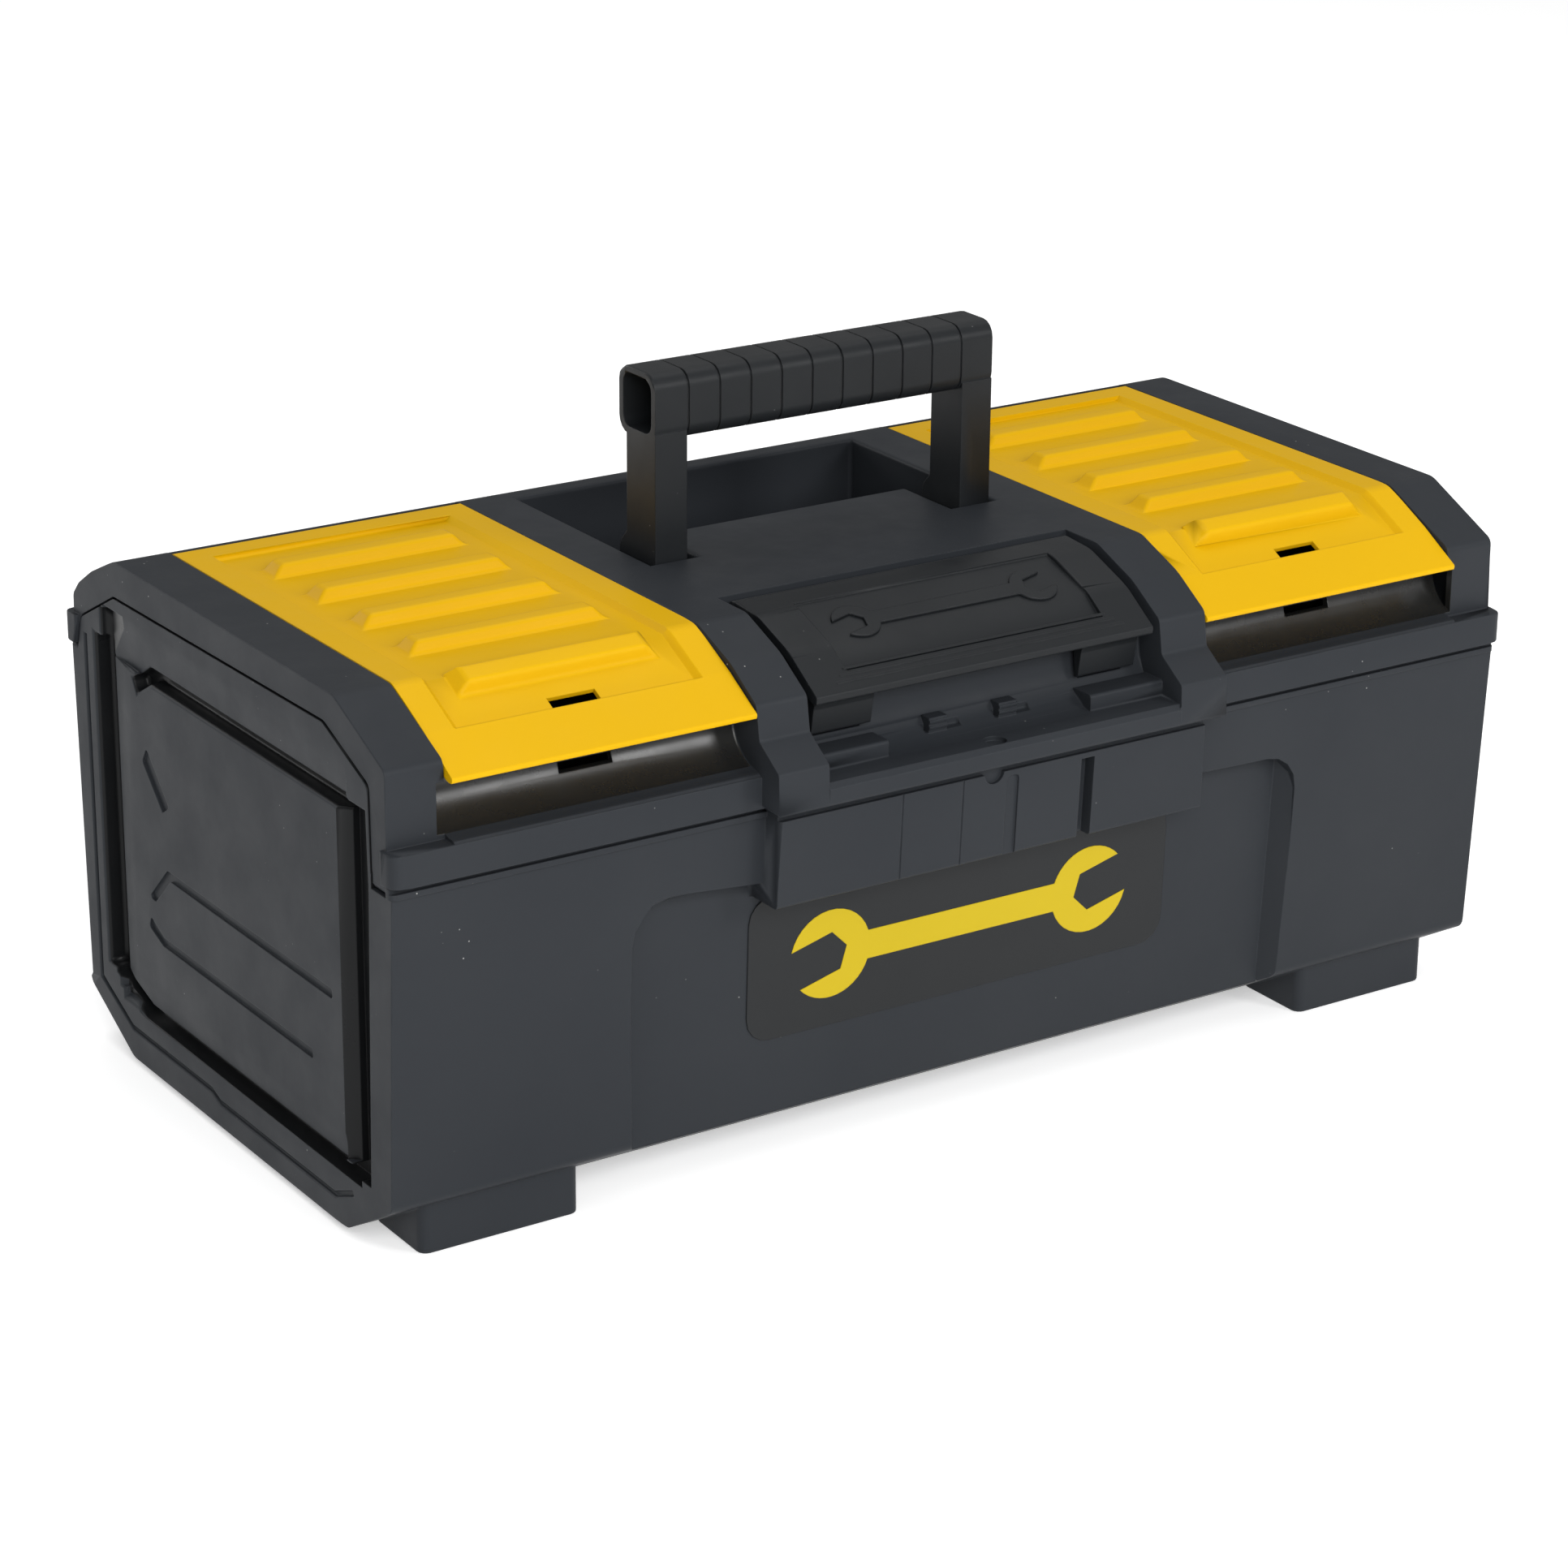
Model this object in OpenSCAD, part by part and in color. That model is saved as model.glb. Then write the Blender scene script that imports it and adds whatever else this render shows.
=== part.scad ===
// Portable plastic toolbox: a tub with a hinged lid, two organisers under their own
// yellow lids in the main lid, a folding carry handle, a front latch and a lift-out tray.
// Millimetres. X runs along the box, -Y is the front, Z = 0 is the underside of the feet.

/* [Box] */
// Length of the tub over its end faces
tub_len = 391.6; // [388:0.4:396]
// How far the lid rim stands out past each end face
rim_out = 1.2; // [0.8:0.1:2]
// Height of the flat top of the lid
lid_top = 162.5; // [161:0.5:164]
// Height of the tub rim at the front
rim_front = 116.7; // [115:0.1:117.5]
// Height of the tub rim at the back
rim_back = 128.8; // [128.5:0.1:128.9]
// Wall thickness of the moulded shells
wall = 2.8; // [2.4:0.1:3]

/* [Organisers] */
// Inner edge of each yellow lid, from the middle of the box
bay_in = 79.5; // [79:0.5:82]
// Outer edge of each yellow lid, from the middle of the box
bay_out = 177.6; // [176:0.2:178]
// Height of the organiser floors
well_floor = 140; // [139:0.5:143]
// Thickness of the yellow lids
cover_t = 3.2; // [3:0.1:3.4]

/* [Handle] */
// Half the length of the grip
grip_half = 60.5; // [58:0.5:60.5]
// Width of each handle leg along the box
leg_w = 11; // [9:0.5:11]
// Height of the top of the grip
grip_top = 219.2; // [216:0.2:219.2]

/* [Tray] */
// Half the length of the tray
tray_half = 183.5; // [180:0.5:184]
// Height of the underside of the tray
tray_low = 86.2; // [86.2:0.1:88]
// Height of the tray walls above its underside
tray_h = 32; // [24:1:34]

/* [Hidden] */
$fn = 48;

slate = [0.20, 0.21, 0.22];
jet = [0.13, 0.135, 0.14];
yellow = [0.97, 0.74, 0.07];
steel = [0.66, 0.67, 0.69];
charcoal = [0.28, 0.29, 0.31];
far = 400;
end_x = tub_len / 2;
rim_x = end_x + rim_out;

// Hinge axes, each along X, as [y, z]
rear_axis = [105.5, 129.5];
rear_r = 4.5;
rear_pin_r = 1.5;
cover_axis = [69, lid_top - 3.2];
cover_r = 3.1;
cover_pin_r = 1.2;
grip_axis = [-3.2, lid_top - 10.3];
hub_r = 10.1;
grip_pin_r = 2;
latch_axis = [-55.3, lid_top - 4.5];
latch_r = 4.2;
latch_pin_r = 1.5;
run_gap = 0.05;

// ---- outlines and solids ----

function unit(v) = v / norm(v);
function turned(v, a) = [v.x * cos(a) - v.y * sin(a), v.x * sin(a) + v.y * cos(a)];
function arc(c, r, a0, a1, n = 8) =
  [for (i = [0:n]) c + r * [cos(a0 + (a1 - a0) * i / n), sin(a0 + (a1 - a0) * i / n)]];

// One corner of an outline: the point itself, or an arc of radius r that rounds it
function corner(a, p, b, r, n) =
  r == 0 ? [p] :
  let (u = unit(a - p), v = unit(b - p), half = acos(u * v) / 2)
  let (c = p + unit(u + v) * r / sin(half), s = p + u * r / tan(half) - c)
  let (e = p + v * r / tan(half) - c, way = sign(cross(s, e)))
  [for (i = [0:n]) c + turned(s, way * (180 - 2 * half) * i / n)];

// An outline whose points are [a, b] or [a, b, radius]
function soft(pts, n = 4) =
  let (m = len(pts))
  [for (i = [0:m - 1])
    let (a = pts[(i + m - 1) % m], p = pts[i], b = pts[(i + 1) % m])
    each corner([a[0], a[1]], [p[0], p[1]], [b[0], b[1]], len(p) > 2 ? p[2] : 0, n)];

// Mitred directions at each point of a path, and the path moved sideways by d
function side_dirs(path) =
  let (last = len(path) - 1, d = [for (i = [0:last - 1]) unit(path[i + 1] - path[i])])
  let (n = [for (v = d) [-v.y, v.x]])
  [for (i = [0:last]) i == 0 ? n[0] : i == last ? n[last - 1] :
    (n[i - 1] + n[i]) / (1 + n[i - 1] * n[i])];
function shifted(path, d) =
  let (s = side_dirs(path)) [for (i = [0:len(path) - 1]) path[i] + s[i] * d];
function reversed(list) = [for (i = [len(list) - 1:-1:0]) list[i]];
function band(path, w) = concat(shifted(path, w / 2), reversed(shifted(path, -w / 2)));

// An outline in Y and Z, extruded from x0 to x1
module along_x(pts, x0, x1) {
  translate([x0, 0, 0]) rotate([90, 0, 90]) linear_extrude(x1 - x0) polygon(pts);
}

// An outline in X and Z, extruded from y0 to y1
module along_y(pts, y0, y1) {
  translate([0, y1, 0]) rotate([90, 0, 0]) linear_extrude(y1 - y0) polygon(pts);
}

// An outline in X and Y, extruded from z0 to z1
module along_z(pts, z0, z1) {
  translate([0, 0, z0]) linear_extrude(z1 - z0) polygon(pts);
}

module slab(lo, hi) {
  translate(lo) cube(hi - lo);
}

module rod(axis, r, x0, x1) {
  translate([x0, axis[0], axis[1]]) rotate([0, 90, 0]) cylinder(h = x1 - x0, r = r);
}

module both_ends() {
  children();
  mirror([1, 0, 0]) children();
}

function box_outline(a0, b0, a1, b1, r) =
  soft([[a0, b0, r], [a1, b0, r], [a1, b1, r], [a0, b1, r]]);

// ---- tub ----

front_foot = [-93.1, 18.3];
back_foot = [102.3, 17.8];
floor_out = 2.5;
front_top_y = -97.8;
back_top_y = 105;
recess_deep = 7;
recess_top = 94;
recess_half = 119.5;
wall_face = 187;
apron_half = 76.2;
apron_low = 86.6;
apron_y = -105.4;
apron_draft = 1.6;
apron_round = 2.5;
ledge_top = 86;

tub_outline = soft([
  [-66, floor_out, 8], [front_foot.x, front_foot.y, 4], [front_top_y, rim_front],
  [back_top_y, rim_back], [back_foot.x, back_foot.y, 4], [73.1, floor_out, 8]
]);

// The end walls stand up inside the arch that the lid leaves open at each end
end_outline = soft([
  [-66, floor_out, 8], [front_foot.x, front_foot.y, 4], [-97.6, 113],
  [-86, 113, 3], [-85.2, 142.1, 3], [-60, 152.8, 4], [72.8, 150.7, 4], [96.3, 138.5, 4],
  [99.9, rim_back], [back_top_y, rim_back], [back_foot.x, back_foot.y, 4],
  [73.1, floor_out, 8]
]);

cavity_outline = soft([
  [-65, floor_out + wall, 6], [front_foot.x + wall, front_foot.y + 1.3, 3],
  [front_top_y + wall, rim_front + 1.5], [back_top_y - wall, rim_back + 2],
  [back_foot.x - wall, back_foot.y + 1.4, 3], [72, floor_out + wall, 6]
]);

// The front recess floor runs parallel to the drafted front wall
recess_floor = [[front_foot.x + recess_deep - 0.9, 0], [front_top_y + recess_deep + 0.2, rim_front]];

module recess_cut() {
  intersection() {
    along_x([[-120, 0], recess_floor[0], recess_floor[1], [-120, rim_front]], -far, far);
    along_z([[-122.5, -100], [122.5, -100], [112.5, -84], [-112.5, -84]], -1, rim_front);
    along_y(soft([[-recess_half, -5], [recess_half, -5], [recess_half, recess_top, 12],
      [-recess_half, recess_top, 12]]), -120, -60);
  }
}

module recess_backing() {
  back = [[wall, 0], [wall, 0]];
  along_x([[-120, 0], recess_floor[0] + back[0], recess_floor[1] + back[1], [-120, rim_front]],
    -recess_half - 2, recess_half + 2);
}

module tub_cavity() {
  difference() {
    along_x(cavity_outline, -wall_face, wall_face);
    intersection() {
      recess_backing();
      slab([-far, -130, -5], [far, 0, recess_top + wall]);
    }
  }
}

module apron_body() {
  intersection() {
    along_x(soft([[-88, apron_low], [apron_y + apron_draft, apron_low, 1.2],
      [apron_y, rim_front], [-88, rim_front]]), -apron_half, apron_half);
    along_z(soft([[-apron_half, apron_y - 0.4, apron_round],
      [apron_half, apron_y - 0.4, apron_round], [apron_half, -80], [-apron_half, -80]]), 80, 130);
  }
}

module apron_pocket() {
  low = recess_top + wall;
  difference() {
    along_x([[-93, low], [apron_at(low) + wall, low], [apron_y + wall, rim_front + 1],
      [-93, rim_front + 1]], -apron_half + wall, apron_half - wall);
    slab([27, -120, 80], [37, -98.5, 112]);
  }
}

// Where the sloping face of the apron is at height z
function apron_at(z) = apron_y + apron_draft * (rim_front - z) / (rim_front - apron_low);

// A groove of constant depth in the face of the apron
module apron_groove(x, width, depth, top) {
  low = apron_low - 1;
  along_x([[apron_at(low) - 4, low], [apron_at(low) + depth, low], [apron_at(top) + depth, top],
    [apron_at(top) - 4, top]], x, x + width);
}

// A notch with a round bottom, centred on x, open at the rim
module padlock_notch(x, r, z) {
  translate([x, apron_y + 1.6, z]) rotate([90, 0, 0]) cylinder(h = 12, r = r);
  slab([x - r, apron_y - 10, z], [x + r, apron_y + 1.6, rim_front + 1]);
}

// Decorative grooves and the padlock notch in the face of the apron
module apron_marks() {
  apron_groove(29.6, 4.8, 4.4, 112);
  apron_groove(2.6, 4.4, 0.8, 112);
  for (x = [-34.4, -13.2]) apron_groove(x, 0.6, 0.3, rim_front + 1);
  padlock_notch(-2, 3.5, 114);
}

module foot() {
  along_z(box_outline(132.4, -88, 184, -60, 3), 0, 17);
}

module feet() {
  mid = (front_foot.x + back_foot.x) / 2;
  both_ends() {
    foot();
    translate([0, 2 * mid, 0]) mirror([0, 1, 0]) foot();
  }
}

groove_path = [[94, 134], [94, 22], [73, 12.4], [19, 12.4], [13.5, 10.4], [-59, 10.4], [-70, 15]];
channel_path = [[80.3, 146], [80.3, 29], [63, 21.4], [-76, 21.4]];
top_channel = [[62, 127], [52, 132.6], [-76, 132.6]];
front_channel = [[-69, 21.4], [-81.4, 21.4], [-84.6, 112], [-83.8, 134.9], [-69, 134.9]];
plateau_low = 0.6;

// Grooves and bevels of one end face, cut from the outside inwards
module end_face_cuts() {
  face = end_x;
  along_x(band(groove_path, 1.7), face - 1.3, far);
  along_x(band(channel_path, 4.4), face - 6.2, far);
  slab([face - 6.2, 77.6, 29], [far, 87.6, 136]);
  along_x(band(top_channel, 4.6), face - 6, far);
  along_x(front_channel, face - 6.2, far);
  slab([face - plateau_low, -69, 23], [far, 68, 131]);
  along_z([[face + 1, 66], [face + 1, 81], [face - 2.4, 79], [face - plateau_low, 67]], 24, 147);
  along_z([[face + 1, -65], [face - plateau_low, -65.6], [face - 4.4, -69.4], [face + 1, -70]], 24,
    134);
  along_y([[face + 1, 33], [face + 1, 20], [face - 2.2, 22], [face - plateau_low, 32]], -66, 78);
  along_y([[face + 0.01, 147], [face + 1, 147], [face + 1, 131], [face - 2.4, 131]], -73, 79);
  end_face_marks();
}

// Shallow relief on the raised panel
module end_face_marks() {
  deep = end_x - plateau_low - 0.9;
  along_x(soft([[55.5, 109, 1], [58.6, 104, 1], [46, 91.5, 1], [41.5, 94.5, 1]]), deep, far);
  along_x(soft([[57.8, 61, 1], [44.5, 73.7, 2], [-60, 73.7, 1], [-60, 70.7, 1], [42.8, 70.7, 2],
    [53.5, 60.6, 1]]), deep, far);
  along_x(soft([[58.8, 51, 1], [57.4, 54.5, 1], [48.6, 50.6, 2], [-47, 50.6, 1], [-47, 47.6, 1],
    [49.4, 47.6, 2]]), deep, far);
}

// A set-back neck under the lid that makes the seam between lid and tub
module seam_neck() {
  both_ends() slab([apron_half, -130, rim_front - 1.7], [far, -97, rim_front + 1]);
  slab([-apron_half - 1, -130, rim_front - 3], [apron_half + 1, apron_y + 1.6, rim_front + 1]);
}

// Clearance for the lid's front pillar at each end of the tub rim
module pillar_seats() {
  both_ends() slab([185.4, -95.4, 113], [far, -86, 140]);
}

module tray_ledges() {
  both_ends() along_y([[wall_face + 1, ledge_top - 12], [180.4, ledge_top - 3],
    [180.4, ledge_top], [wall_face + 1, ledge_top]], -50, 60);
}

tongue_x = [38, 56];
tongue_y = [-84.7, -82.3];
tongue_foot = recess_top + 0.5;

// Upright tongues that the latch beads snap against
module catch_tongues() {
  both_ends() difference() {
    union() {
      slab([tongue_x[0], tongue_y[0], tongue_foot], [tongue_x[1], tongue_y[1], 138.2]);
      slab([tongue_x[0], -96.5, tongue_foot], [tongue_x[1], tongue_y[1], 111]);
    }
    slab([tongue_x[0] + 3, -100, 131], [tongue_x[1] - 3, -80, 136.4]);
  }
}

knuckle_tub = [[95, 107], [133, 145]];
knuckle_lid = [108.2, 131.8];

module tub_knuckles() {
  both_ends() for (k = knuckle_tub) {
    rod(rear_axis, rear_r, k[0], k[1]);
    along_x([[101.5, 112], [103.6, 112], [109.6, 127.5], [109.9, 129], [101.5, 129]], k[0], k[1]);
  }
}

module tub() {
  color(slate) difference() {
    union() {
      difference() {
        union() {
          along_x(tub_outline, -end_x, end_x);
          both_ends() along_x(end_outline, wall_face - 0.5, end_x);
          along_z(soft([[-end_x - 0.6, -98.5, 2], [end_x + 0.6, -98.5, 2], [end_x + 0.6, -92],
            [-end_x - 0.6, -92]]), rim_front - 3.4, rim_front);
          apron_body();
          feet();
        }
        tub_cavity();
        apron_pocket();
        recess_cut_clear_of_apron();
        apron_marks();
        seam_neck();
        pillar_seats();
        end_face_cuts();
        mirror([1, 0, 0]) end_face_cuts();
        both_ends() rod(rear_axis, rear_r + 0.6, knuckle_lid[0] - 0.6, knuckle_lid[1] + 0.6);
      }
      tub_knuckles();
      catch_tongues();
      tray_ledges();
    }
    both_ends() rod(rear_axis, rear_pin_r, 90, 150);
  }
}

module recess_cut_clear_of_apron() {
  difference() {
    recess_cut();
    slab([-apron_half, -130, apron_low], [apron_half, 0, rim_front]);
  }
}

module rear_hinge_pin() {
  color(steel) rod(rear_axis, rear_pin_r, 95, 145);
}

module rear_hinge_pin_left() {
  mirror([1, 0, 0]) rear_hinge_pin();
}

module rear_hinge_pin_right() {
  rear_hinge_pin();
}

label_x = [-76.5, 74.7];
label_z = [39, 84.8];

module front_label() {
  skin = [0.4, 0];
  color(jet) intersection() {
    along_x([recess_floor[0] - skin, recess_floor[0], recess_floor[1], recess_floor[1] - skin],
      label_x[0], label_x[1]);
    along_y(box_outline(label_x[0], label_z[0], label_x[1], label_z[1], 8), -120, -60);
  }
}

// ---- main lid ----

lid_low_front = rim_front + 0.3;
lid_low_back = 129.3;
skin_t = 2.5;
arch_x = 186.2;
cove_c = [-99, 141];
cove_r = 13.6;
latch_cove_c = [-101, 137];
latch_cove_r = 13;
ear_in = 62.6;

lid_back = [[72, lid_top, 10], [88, 155, 30], [97.5, 149, 12], [101.8, 144.5, 3],
  [102.4, lid_low_back]];
lid_back_in = [[71, lid_top - skin_t, 8], [86.6, 152.4, 28], [95.5, 146.8, 10], [99, 143, 1.5],
  [99.5, 110]];

cap_outline = soft(concat([[-94.8, lid_low_front], [-94.8, 149.2, 3], [-66, lid_top, 9]],
  lid_back));
cap_inside = soft(concat([[-92.3, 110], [-92.3, 147.4, 2], [-65.5, lid_top - skin_t, 8]],
  lid_back_in));

ear_outline = soft(concat([[-110, lid_low_front], [-109.4, 129.8, 1.5], [-99.3, 136.6, 2],
  [-97.6, 147, 3], [-84, 155.6, 24], [-66, lid_top, 9]], lid_back));
ear_inside = soft(concat([[-104.4, 110], [-104.4, 120], [-107, 122.5], [-106.8, 128.2, 1],
  [-97, 135.2, 1], [-95.3, 145.5, 1], [-83.4, 153.1, 20], [-65.5, lid_top - skin_t, 8]],
  lid_back_in));

centre_front = concat([[-110, lid_low_front], [-110, 122.4], [-108.6, 124]],
  arc(latch_cove_c, latch_cove_r, -90, 0, 10), [[-86.5, 145.4], [-58, 152.6], [-50.3, 152.6],
  [-50.3, lid_top]]);
centre_front_in = concat([[-104.4, 110], [-104.4, 121.5]],
  arc(latch_cove_c, latch_cove_r + skin_t, -90, 0, 8), [[-84.9, 143.2], [-57, 150.2],
  [-47.8, 150.2], [-47.8, lid_top - skin_t]]);
centre_outline = concat(centre_front, soft_tail(lid_back));
centre_inside = concat(centre_front_in, soft_tail(lid_back_in));

// The rounded points of a tail that continues level from the front of the lid
function soft_tail(tail) =
  let (start = [-20, tail[0][1]], end = [20, tail[len(tail) - 1][1]])
  let (all = soft(concat([start], tail, [end])))
  [for (i = [1:len(all) - 2]) all[i]];

// Top surface of the yellow lids, from the hinge to the lip
cover_path = [[69, lid_top - 0.1], [-66, lid_top - 0.1], [-84, 153.4], [-98.6, 144.9]];
cover_under = shifted(cover_path, cover_t);
bay_top = shifted(cover_path, cover_t + 0.4);
bay_seat_y = 73.2;

organizer_outline = concat([[-100.6, lid_low_front], [-100.6, 126], [-99.6, 127.2]],
  arc(cove_c, cove_r, -90, 0, 10), [[-85.4, 147.5], bay_top[2], bay_top[1],
  [62, bay_top[0].y], [62, 155.4], [bay_seat_y, 155.4], [bay_seat_y, lid_top - 0.9]],
  [for (p = soft_tail(lid_back)) if (p.x > bay_seat_y + 0.2) p]);
organizer_inside = concat([[-98, 110], [-98, 124.4]], arc(cove_c, cove_r + 2.4, -84, -12, 8),
  [[-83, well_floor - 2.2], [102, well_floor - 2.2], [102, 110]]);

module lid_section(outer, x0, x1) {
  both_ends() along_x(outer, x0, x1);
}

module rim_bands() {
  both_ends() along_z(soft([[bay_in - 8, -100.6], [rim_x, -100.6, 3.5], [rim_x, -93, 1],
    [bay_in - 8, -93]]), lid_low_front, 126.6);
  along_z(soft([[-rim_x, 98, 1], [rim_x, 98, 1], [rim_x, 105.9, 2.5], [-rim_x, 105.9, 2.5]]),
    lid_low_back, 138.6);
}

arch_outline = soft([
  [-86.6, 100], [-85.9, 142.8, 3], [-60.3, 153.5, 4], [73.1, 151.4, 4], [97, 139, 4],
  [100.6, lid_low_back], [100.6, 100]
]);

recess_half_x = 62.3;
recess_y = [11.5, 65.2];
recess_z = 137.5;
slot_in = 46;
slot_front = -13.8;
slot_z = 140.8;

module handle_recess(grow) {
  slab([-recess_half_x - grow, recess_y[0] - grow, recess_z - grow],
    [recess_half_x + grow, recess_y[1] + grow, lid_top + 1 - grow]);
  both_ends() slab([slot_in - grow, slot_front - grow, slot_z - grow],
    [recess_half_x + grow, recess_y[0] + 1, lid_top + 1 - grow]);
}

well_x = [bay_in + 4, bay_out - 3.6];
well_y = [-80, 60];

module well() {
  along_z(box_outline(well_x[0], well_y[0], well_x[1], well_y[1], 5), well_floor, lid_top);
}

divider_y = [-36, 14];
divider_t = 1.6;
divider_slot = 1.9;
divider_bite = 1.2;

module divider_slots() {
  for (y = divider_y)
    slab([well_x[0] - divider_bite, y - divider_slot / 2, well_floor],
      [well_x[1] + divider_bite, y + divider_slot / 2, 158]);
}

// Everything removed from inside the lid, from below
module lid_hollow() {
  along_x([[-82.6, 110], [-82.6, 135.2], [102, 135.2], [102, 110]], -arch_x, arch_x);
  difference() {
    along_x(centre_inside, -ear_in, ear_in);
    handle_recess(skin_t);
  }
  both_ends() {
    difference() {
      along_x(ear_inside, ear_in + 2.5, bay_in - 2.4);
      handle_recess(skin_t);
      rod(latch_axis, 4.4, 0, ear_in + 6);
      rod(grip_axis, 5, 0, recess_half_x + 6);
    }
    along_x(organizer_inside, bay_in, bay_out);
    along_x([[76, 110], [76, 157.3], [86.4, 152.4], [95.3, 146.8], [98.8, 143], [99.4, 137],
      [102, 137], [102, 110]], bay_in, bay_out);
    along_x(cap_inside, bay_out + 2.4, arch_x);
    slab([bay_in - 3, -83, 110], [bay_in + 1, 60, well_floor - 2.2]);
  }
  difference() {
    along_x(arch_outline, -far, far);
    slab([-arch_x, -far, 0], [arch_x, far, far]);
  }
}

window_x = [39, 55];

pocket_x = [-19, 5.8];
pocket_w = 13;

// Openings through the cove: two for the latch beads, two shallow pockets between them
module latch_windows() {
  both_ends() slab([window_x[0], -98, 130.8], [window_x[1], -84, 143]);
  for (x = pocket_x) slab([x, -97.5, 126], [x + pocket_w, -91.6, 131]);
}

// Ledges beside the latch cove and the ribbed blocks in its pockets
module cove_details() {
  both_ends() along_x(soft([[-100.2, 123], [-91, 125.4], [-91, 129, 1], [-100.2, 129, 1]]), 36,
    ear_in + 1);
  for (x = pocket_x) {
    slab([x + 1, -94.4, 125.6], [x + 7.4, -90.4, 130.4]);
    for (z = [127, 128.8]) slab([x + 1, -94.8, z], [x + 7.4, -91, z + 0.9]);
  }
}

// Slot behind the lip of a yellow lid, open at its foot into the hollow under the organiser
module organizer_catch_slot() {
  mid = (bay_in + bay_out) / 2;
  slab([mid - 8.6, -90, 134.8], [mid + 8.6, -84.6, 142.2]);
  slab([mid - 8.6, -90, 134.8], [mid + 8.6, -82, 137.2]);
}

module lid_knuckle() {
  rod(rear_axis, rear_r, knuckle_lid[0], knuckle_lid[1]);
  along_x([[101.5, 129.5], [101.5, 142], [104.4, 142], [109.9, 129.5]], knuckle_lid[0],
    knuckle_lid[1]);
}

module lid_bosses() {
  both_ends() {
    rod(latch_axis, 4, ear_in, ear_in + 6);
    rod(grip_axis, 5, recess_half_x, recess_half_x + 5);
    rod(grip_axis, 5, slot_in - 5, slot_in);
  }
}

module main_lid() {
  color(slate) difference() {
    union() {
      difference() {
        union() {
          lid_section(centre_outline, 0, ear_in);
          lid_section(ear_outline, ear_in, bay_in);
          lid_section(organizer_outline, bay_in, bay_out);
          lid_section(cap_outline, bay_out, 195.5);
          rim_bands();
          both_ends() slab([arch_x, -94.8, 113.6], [195.5, -86.6, 120]);
        }
        lid_hollow();
        handle_recess(0);
        both_ends() {
          well();
          divider_slots();
          scoop_end();
          organizer_catch_slot();
          rear_hinge_clearance();
        }
        latch_windows();
      }
      cove_details();
      lid_bosses();
      both_ends() lid_knuckle();
    }
    both_ends() {
      rod(rear_axis, rear_pin_r + run_gap, 100, 140);
      rod(cover_axis, cover_pin_r, bay_in - 3.6, bay_out + 3.6);
      rod(grip_axis, grip_pin_r, slot_in - 4, recess_half_x + 4);
      rod(latch_axis, latch_pin_r, 50, ear_in + 5);
    }
    translate([-2, -105, 122.6]) cylinder(h = 8, r = 3.4);
  }
}

// The finger scoop runs a little way into the end cap
module scoop_end() {
  along_x(concat([[-100.7, 126.6]], arc(cove_c, cove_r, -90, 0, 10),
    [[-85.4, 143], [-100.7, 143]]), bay_out - 0.1, bay_out + 2.4);
}

module rear_hinge_clearance() {
  for (k = knuckle_tub) rod(rear_axis, rear_r + 0.6, k[0] - 0.6, k[1] + 0.6);
}

module organizer_pin() {
  color(steel) rod(cover_axis, cover_pin_r, bay_in - 3.4, bay_out + 3.4);
}

module organizer_pin_left() {
  mirror([1, 0, 0]) organizer_pin();
}

module organizer_pin_right() {
  organizer_pin();
}

module handle_pin() {
  color(steel) rod(grip_axis, grip_pin_r, slot_in - 3.8, recess_half_x + 3.8);
}

module handle_pin_left() {
  mirror([1, 0, 0]) handle_pin();
}

module handle_pin_right() {
  handle_pin();
}

module latch_pin() {
  color(steel) rod(latch_axis, latch_pin_r, 51, ear_in + 4.8);
}

module latch_pin_left() {
  mirror([1, 0, 0]) latch_pin();
}

module latch_pin_right() {
  latch_pin();
}

// ---- removable dividers in the organisers ----

module organizer_divider(y) {
  snug = 0.15;
  color(charcoal) slab([well_x[0] - divider_bite + snug, y - divider_t / 2, well_floor],
    [well_x[1] + divider_bite - snug, y + divider_t / 2, 157]);
}

module left_divider_front() {
  mirror([1, 0, 0]) organizer_divider(divider_y[0]);
}

module left_divider_rear() {
  mirror([1, 0, 0]) organizer_divider(divider_y[1]);
}

module right_divider_front() {
  organizer_divider(divider_y[0]);
}

module right_divider_rear() {
  organizer_divider(divider_y[1]);
}

// ---- yellow organiser lids ----

cover_x = [bay_in + 0.4, bay_out - 0.4];
inset_deep = 1.6;
slope_inset_deep = 1.7;
inset_back = 61;
inset_border = 9.4;
slope_angle = atan2(cover_path[1].y - cover_path[2].y, cover_path[1].x - cover_path[2].x);
slope_run = 20.5;
rib_half = 32;
rib_pitch = 27.2;
rib_first_y = 41;
rib_h = 3.8;

// Sunk panel with sloping sides, cut down from the surface z = 0
module inset_prism(run, deep) {
  mid = (bay_in + bay_out) / 2;
  half = (bay_out - bay_in) / 2 - inset_border;
  along_y([[mid - half - 0.7, 0.5], [mid - half + deep, -deep], [mid + half - deep, -deep],
    [mid + half + 0.7, 0.5]], 0, run);
}

// A raised rib with sloping sides and ends, standing on z = 0 and rooted below it
module cover_rib() {
  mid = (bay_in + bay_out) / 2;
  root = -1.2;
  intersection() {
    along_x([[-4.6, root], [-4.6, 0], [-3.2, rib_h], [3.2, rib_h], [4.6, 0], [4.6, root]],
      mid - rib_half, mid + rib_half);
    along_y([[mid - rib_half, root], [mid - rib_half, 0], [mid - rib_half + 3.4, rib_h],
      [mid + rib_half - 3.4, rib_h], [mid + rib_half, 0], [mid + rib_half, root]], -5, 5);
  }
}

module at_slope() {
  translate([0, cover_path[1].x, cover_path[1].y]) rotate([slope_angle, 0, 0]) children();
}

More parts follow.
